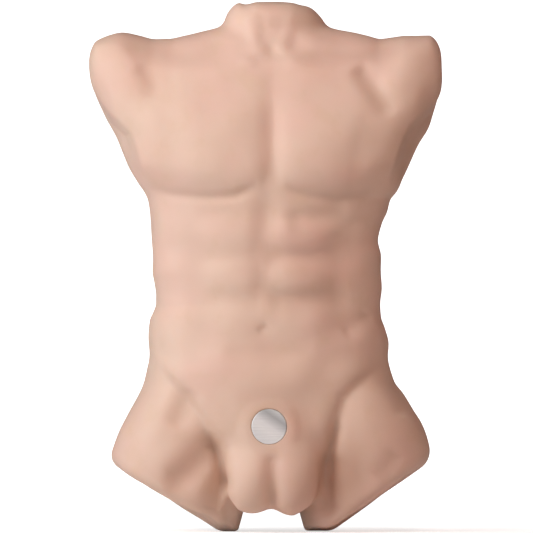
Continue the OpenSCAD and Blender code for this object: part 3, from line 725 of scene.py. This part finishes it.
# the plug's steel face, with its rolled edge and the stud behind it
plugPlate = {"sides": 128, "rim": [(0.0, 0.0), (6.0, 0.0), (12.0, 0.0), (17.0, 0.0), (20.5, 0.0), (-0.9, 0.0),
             (-0.55, 0.05), (-0.26, 0.2), (-0.08, 0.44), (0.0, 0.8), (0.0, 1.6), (0.0, 2.5), (-0.15, 2.85),
             (-0.5, 3.0)],
             "stud": 3.0}


def lathe(name, profile, sides, middle, body):  # profile of [radius, depth] in metres, turned about Y
    bm = bmesh.new()
    rings = []
    for radius, depth in profile:
        count = 1 if radius < 1e-6 else sides
        turns = [2 * math.pi * i / sides for i in range(count)]
        places = [(middle[0] + radius * math.cos(a), depth, middle[1] + radius * math.sin(a)) for a in turns]
        rings.append([bm.verts.new(place) for place in places])
    for a, b in zip(rings[:-1], rings[1:]):
        for i in range(sides):
            j = (i + 1) % sides
            corners = [a[i % len(a)], a[j % len(a)], b[j % len(b)], b[i % len(b)]]
            bm.faces.new([c for n, c in enumerate(corners) if c not in corners[:n]])
    bmesh.ops.recalc_face_normals(bm, faces=bm.faces)
    mesh = bpy.data.meshes.new(name)
    bm.to_mesh(mesh)
    bm.free()
    mesh.polygons.foreach_set("use_smooth", [True] * len(mesh.polygons))
    piece = bpy.data.objects.new(name, mesh)
    bpy.context.collection.objects.link(piece)
    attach(piece, body)
    return piece


rows = []
for reach, depth in plugPlate["rim"]:
    onRim = reach <= 0 and not (reach == 0 and depth == 0)
    rows.append((faceReach + reach / 1000 if onRim else reach / 1000, plugLow[1] + depth / 1000))
stud, chamfer = plugPlate["stud"] / 1000, 0.0005
rows += [(stud + chamfer, plugLow[1] + 0.003), (stud, plugLow[1] + 0.0034), (stud, plugHigh[1] - chamfer),
         (stud - chamfer, plugHigh[1]), (0.0, plugHigh[1])]
steelPlate = lathe("plugPlate", rows, plugPlate["sides"], plugMiddle, "plug")
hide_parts("plug_face")
steelPlate.data.materials.append(plateFinish())
print("plug plate")


# the foam core, in two halves that close round the frame
foam = {"step": 7.0, "inset": 26.2, "split": 0.4, "room": 1.8, "past": 6,
        "low": (-215.0, -100, 20), "high": (215.0, 100, 684)}
leaningOrSoft = ("torso_skin", "foam_core_front", "foam_core_rear", "thigh_tube_left", "thigh_tube_right")
hardNodes = [n for n in nodes if n not in leaningOrSoft]
pockets = [(np.array(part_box(n)[0]) * 1000 - foam["room"], np.array(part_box(n)[1]) * 1000 + foam["room"])
           for n in hardNodes]
lean = math.atan2(44, 80)  # the thigh tubes lean outwards


def tubeEnds(node, side):
    low, high = (np.array(c) * 1000 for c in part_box(node))
    r = (high[1] - low[1]) / 2
    inner, outer = (high[0], low[0]) if side < 0 else (low[0], high[0])
    acrossEnd, upEnd = r * math.cos(lean), r * math.sin(lean)
    top = np.array([inner + side * acrossEnd, 0, high[2] - upEnd])
    foot = np.array([outer - side * acrossEnd, 0, low[2] + upEnd])
    return top, foot, r


thighRooms = [tubeEnds("thigh_tube_left", -1), tubeEnds("thigh_tube_right", 1)]


def foamField(x, y, z, side):
    d = baseField(x, y, z) + foam["inset"]
    d = np.maximum(d, -side * y + foam["split"])
    for low, high in pockets:
        u, v, w = (np.maximum(low[i] - c, c - high[i]) for i, c in enumerate((x, y, z)))
        d = np.maximum(d, -np.maximum(np.maximum(u, v), w))
    for top, foot, r in thighRooms:
        run = foot - top
        t = np.clip(((x - top[0]) * run[0] + (z - top[2]) * run[2]) / (run @ run), 0, 1)
        away = np.sqrt((x - top[0] - t * run[0]) ** 2 + y * y + (z - top[2] - t * run[2]) ** 2)
        d = np.maximum(d, r + foam["room"] - away)
    return d


def foamFinish():
    look = {"pale": (0.83, 0.74, 0.52), "deep": (0.66, 0.55, 0.33)}
    material, shader, start, place = newMaterial("openCellFoam", Specular_IOR_Level=0.2)
    tree = material.node_tree
    cells = start.put("ShaderNodeTexVoronoi", {}, {"Vector": place, "Scale": 700.0})
    cloud = start.put("ShaderNodeTexNoise", {}, {"Vector": place, "Scale": 14.0, "Detail": 3.0})
    colour = (cells.between(0.1, 0.7) * 0.7 + cloud * 0.3).tint(look["deep"], look["pale"])
    feed(tree, colour, shader, "Base Color")
    feed(tree, 0.85 + cells * 0.1, shader, "Roughness")
    bump = start.put("ShaderNodeBump", {}, {"Strength": 0.6, "Distance": 0.0012, "Height": cells})
    feed(tree, bump, shader, "Normal")
    return material


foamMaterial = foamFinish()
for side, node, name in ((-1, "foam_core_front", "foamFront"), (1, "foam_core_rear", "foamRear")):
    step = foam["step"] * 1
    low, high = np.array(foam["low"]), np.array(foam["high"])
    (high if side < 0 else low)[1] = -side * foam["past"]  # each half stops just past the middle
    axes = [np.arange(low[i], high[i] + step, step) for i in range(3)]
    mesh = np.meshgrid(*axes, indexing="ij")
    net, faces = surfaceNet(foamField(*mesh, side), low, step)
    net = settle(net, lambda a, b, c: foamField(a, b, c, side), 2, 3.0)
    half = newMesh(name, net * toMetres, faces, "torso")
    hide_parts(node)
    half.data.materials.append(foamMaterial)
print("foam core")


# finishes of the parts that stay as drawn
hardFinishes = {
    "powderCoat": {"nodes": ["spine_tube", "neck_tube", "shoulder_bar", "pelvis_bar", "thigh_tube_left",
                             "thigh_tube_right"],
                   "colours": [(0.050, 0.054, 0.060), (0.085, 0.090, 0.098)], "metal": 0.0,
                   "rough": (0.42, 0.58), "grain": 900.0, "bump": (0.25, 0.0003)},
    "castAlloy": {"nodes": ["shoulder_cross", "pelvis_tee", "hip_elbow_left", "hip_elbow_right"],
                  "colours": [(0.42, 0.43, 0.44), (0.58, 0.59, 0.60)], "metal": 1.0, "rough": (0.45, 0.62),
                  "grain": 1300.0, "bump": (0.5, 0.0004)},
    "blackOxide": {"nodes": ["shoulder_set_screws", "pelvis_set_screws", "hip_set_screws"],
                   "colours": [(0.03, 0.03, 0.033), (0.07, 0.07, 0.075)], "metal": 0.8, "rough": (0.35, 0.5),
                   "grain": 2000.0, "bump": (0.15, 0.0002)},
    "mouldedNylon": {"nodes": ["neck_cap", "shoulder_cap_left", "shoulder_cap_right", "thigh_cap_left",
                               "thigh_cap_right", "plug_body"],
                     "colours": [(0.020, 0.020, 0.022), (0.040, 0.040, 0.044)], "metal": 0.0,
                     "rough": (0.5, 0.66), "grain": 1500.0, "bump": (0.3, 0.0002)},
    "paleNylon": {"nodes": ["socket_sleeve"],
                  "colours": [(0.66, 0.655, 0.62), (0.76, 0.755, 0.73)], "metal": 0.0, "rough": (0.28, 0.42),
                  "grain": 500.0, "bump": (0.1, 0.0002)},
    "zincPlate": {"nodes": ["socket_bracket", "bracket_bolts", "bracket_nuts"],
                  "colours": [(0.50, 0.51, 0.53), (0.68, 0.69, 0.70)], "metal": 1.0, "rough": (0.3, 0.46),
                  "grain": 260.0, "bump": (0.2, 0.0002)},
    "brightSteel": {"nodes": ["plug_washer", "plug_nut"],
                    "colours": [(0.55, 0.55, 0.56), (0.70, 0.70, 0.70)], "metal": 1.0, "rough": (0.22, 0.36),
                    "grain": 600.0, "bump": (0.15, 0.0002)},
    "sealRubber": {"nodes": ["plug_seals"],
                   "colours": [(0.012, 0.012, 0.012), (0.03, 0.03, 0.03)], "metal": 0.0, "rough": (0.55, 0.7),
                   "grain": 900.0, "bump": (0.2, 0.0002)},
}
for name, row in hardFinishes.items():
    material, shader, start, place = newMaterial(name, Metallic=row["metal"])
    tree = material.node_tree
    grain = start.put("ShaderNodeTexNoise", {}, {"Vector": place, "Scale": row["grain"], "Detail": 3.0})
    cloud = start.put("ShaderNodeTexNoise", {}, {"Vector": place, "Scale": 24.0, "Detail": 2.0})
    feed(tree, (grain * 0.5 + cloud * 0.5).between(0.3, 0.7).tint(*row["colours"]), shader, "Base Color")
    low, high = row["rough"]
    feed(tree, low + cloud * (high - low), shader, "Roughness")
    strength, distance = row["bump"]
    bump = start.put("ShaderNodeBump", {}, {"Strength": strength, "Distance": distance, "Height": grain})
    feed(tree, bump, shader, "Normal")
    for node in row["nodes"]:
        nodes[node].data.materials.clear()
        nodes[node].data.materials.append(material)
print("hard finishes")

studio = {"world": (1.0, 0.86, 0.78, 0.015), "lights": [
    ("key", (-1.8, -1.6, 1.85), 1.2, 40.0, (1.0, 0.98, 0.94)),
    ("side", (-3.15, -1.25, 0.75), 1.4, 35.0, (0.86, 0.93, 1.0)),
    ("top", (0.25, -1.8, 2.6), 1.4, 27.0, (1.0, 0.84, 0.80)),
    ("rim", (2.6, -1.5, 1.2), 1.4, 11.0, (1.0, 0.47, 0.31)),
]}


def areaLight(name, at, size, power, colour, aim=(0, 0, 0.38)):
    light = bpy.data.objects.new(name, bpy.data.lights.new(name, "AREA"))
    bpy.context.collection.objects.link(light)
    light.data.size = size
    light.data.energy = power
    light.data.color = colour
    light.location = at
    light.rotation_euler = (Vector(aim) - Vector(at)).to_track_quat("-Z", "Y").to_euler()


for row in studio["lights"]:
    areaLight(*row)
world = bpy.data.worlds.new("studio")
bpy.context.scene.world = world
world.use_nodes = True
background = world.node_tree.nodes["Background"]
background.inputs["Color"].default_value = (*studio["world"][:3], 1)
worldStart = Wire(world.node_tree, None)
toCamera = worldStart.put("ShaderNodeLightPath")
# the room looks pale, and hardly lights the torso
feed(world.node_tree, toCamera * 0.95 + studio["world"][3], background, "Strength")


def stagePlane(name, corners, colour, glow):
    mesh = bpy.data.meshes.new(name)
    mesh.from_pydata(corners, [], [(0, 1, 2, 3)])
    plane = bpy.data.objects.new(name, mesh)
    bpy.context.collection.objects.link(plane)
    material, shader, _, place = newMaterial(name + "Paint", Base_Color=(*colour, 1), Roughness=0.9,
                                             Emission_Strength=glow)
    shader.inputs["Specular IOR Level"].default_value = 0.1
    shader.inputs["Emission Color"].default_value = (1, 1, 1, 1)
    if name == "floor":
        behind = place.put("ShaderNodeSeparateXYZ", {}, {0: place}, 1)
        unseen = 1 - behind.put("ShaderNodeLightPath")  # the glow is mostly for the camera
        glowShare = (behind.between(-0.1, 0.3) * 0.4 + 0.6) * (1 - unseen * 0.97)
        feed(material.node_tree, glowShare.tint((0.0, 0.0, 0.0), (1, 1, 1)), shader, "Emission Color")
    mesh.materials.append(material)


backdrop = {"behind": 2.4, "half": 0.46, "high": 0.82}
paint, reach = (0.9, 0.9, 0.9), 7
corners = [(-reach, -reach, 0), (reach, -reach, 0), (reach, reach, 0), (-reach, reach, 0)]
stagePlane("floor", corners, paint, 0.9)
across, back, high = backdrop["half"], backdrop["behind"], backdrop["high"]
corners = [(-across, back, 0), (across, back, 0), (across, back, high), (-across, back, high)]
stagePlane("backdrop", corners, paint, 1.0)
print("studio")
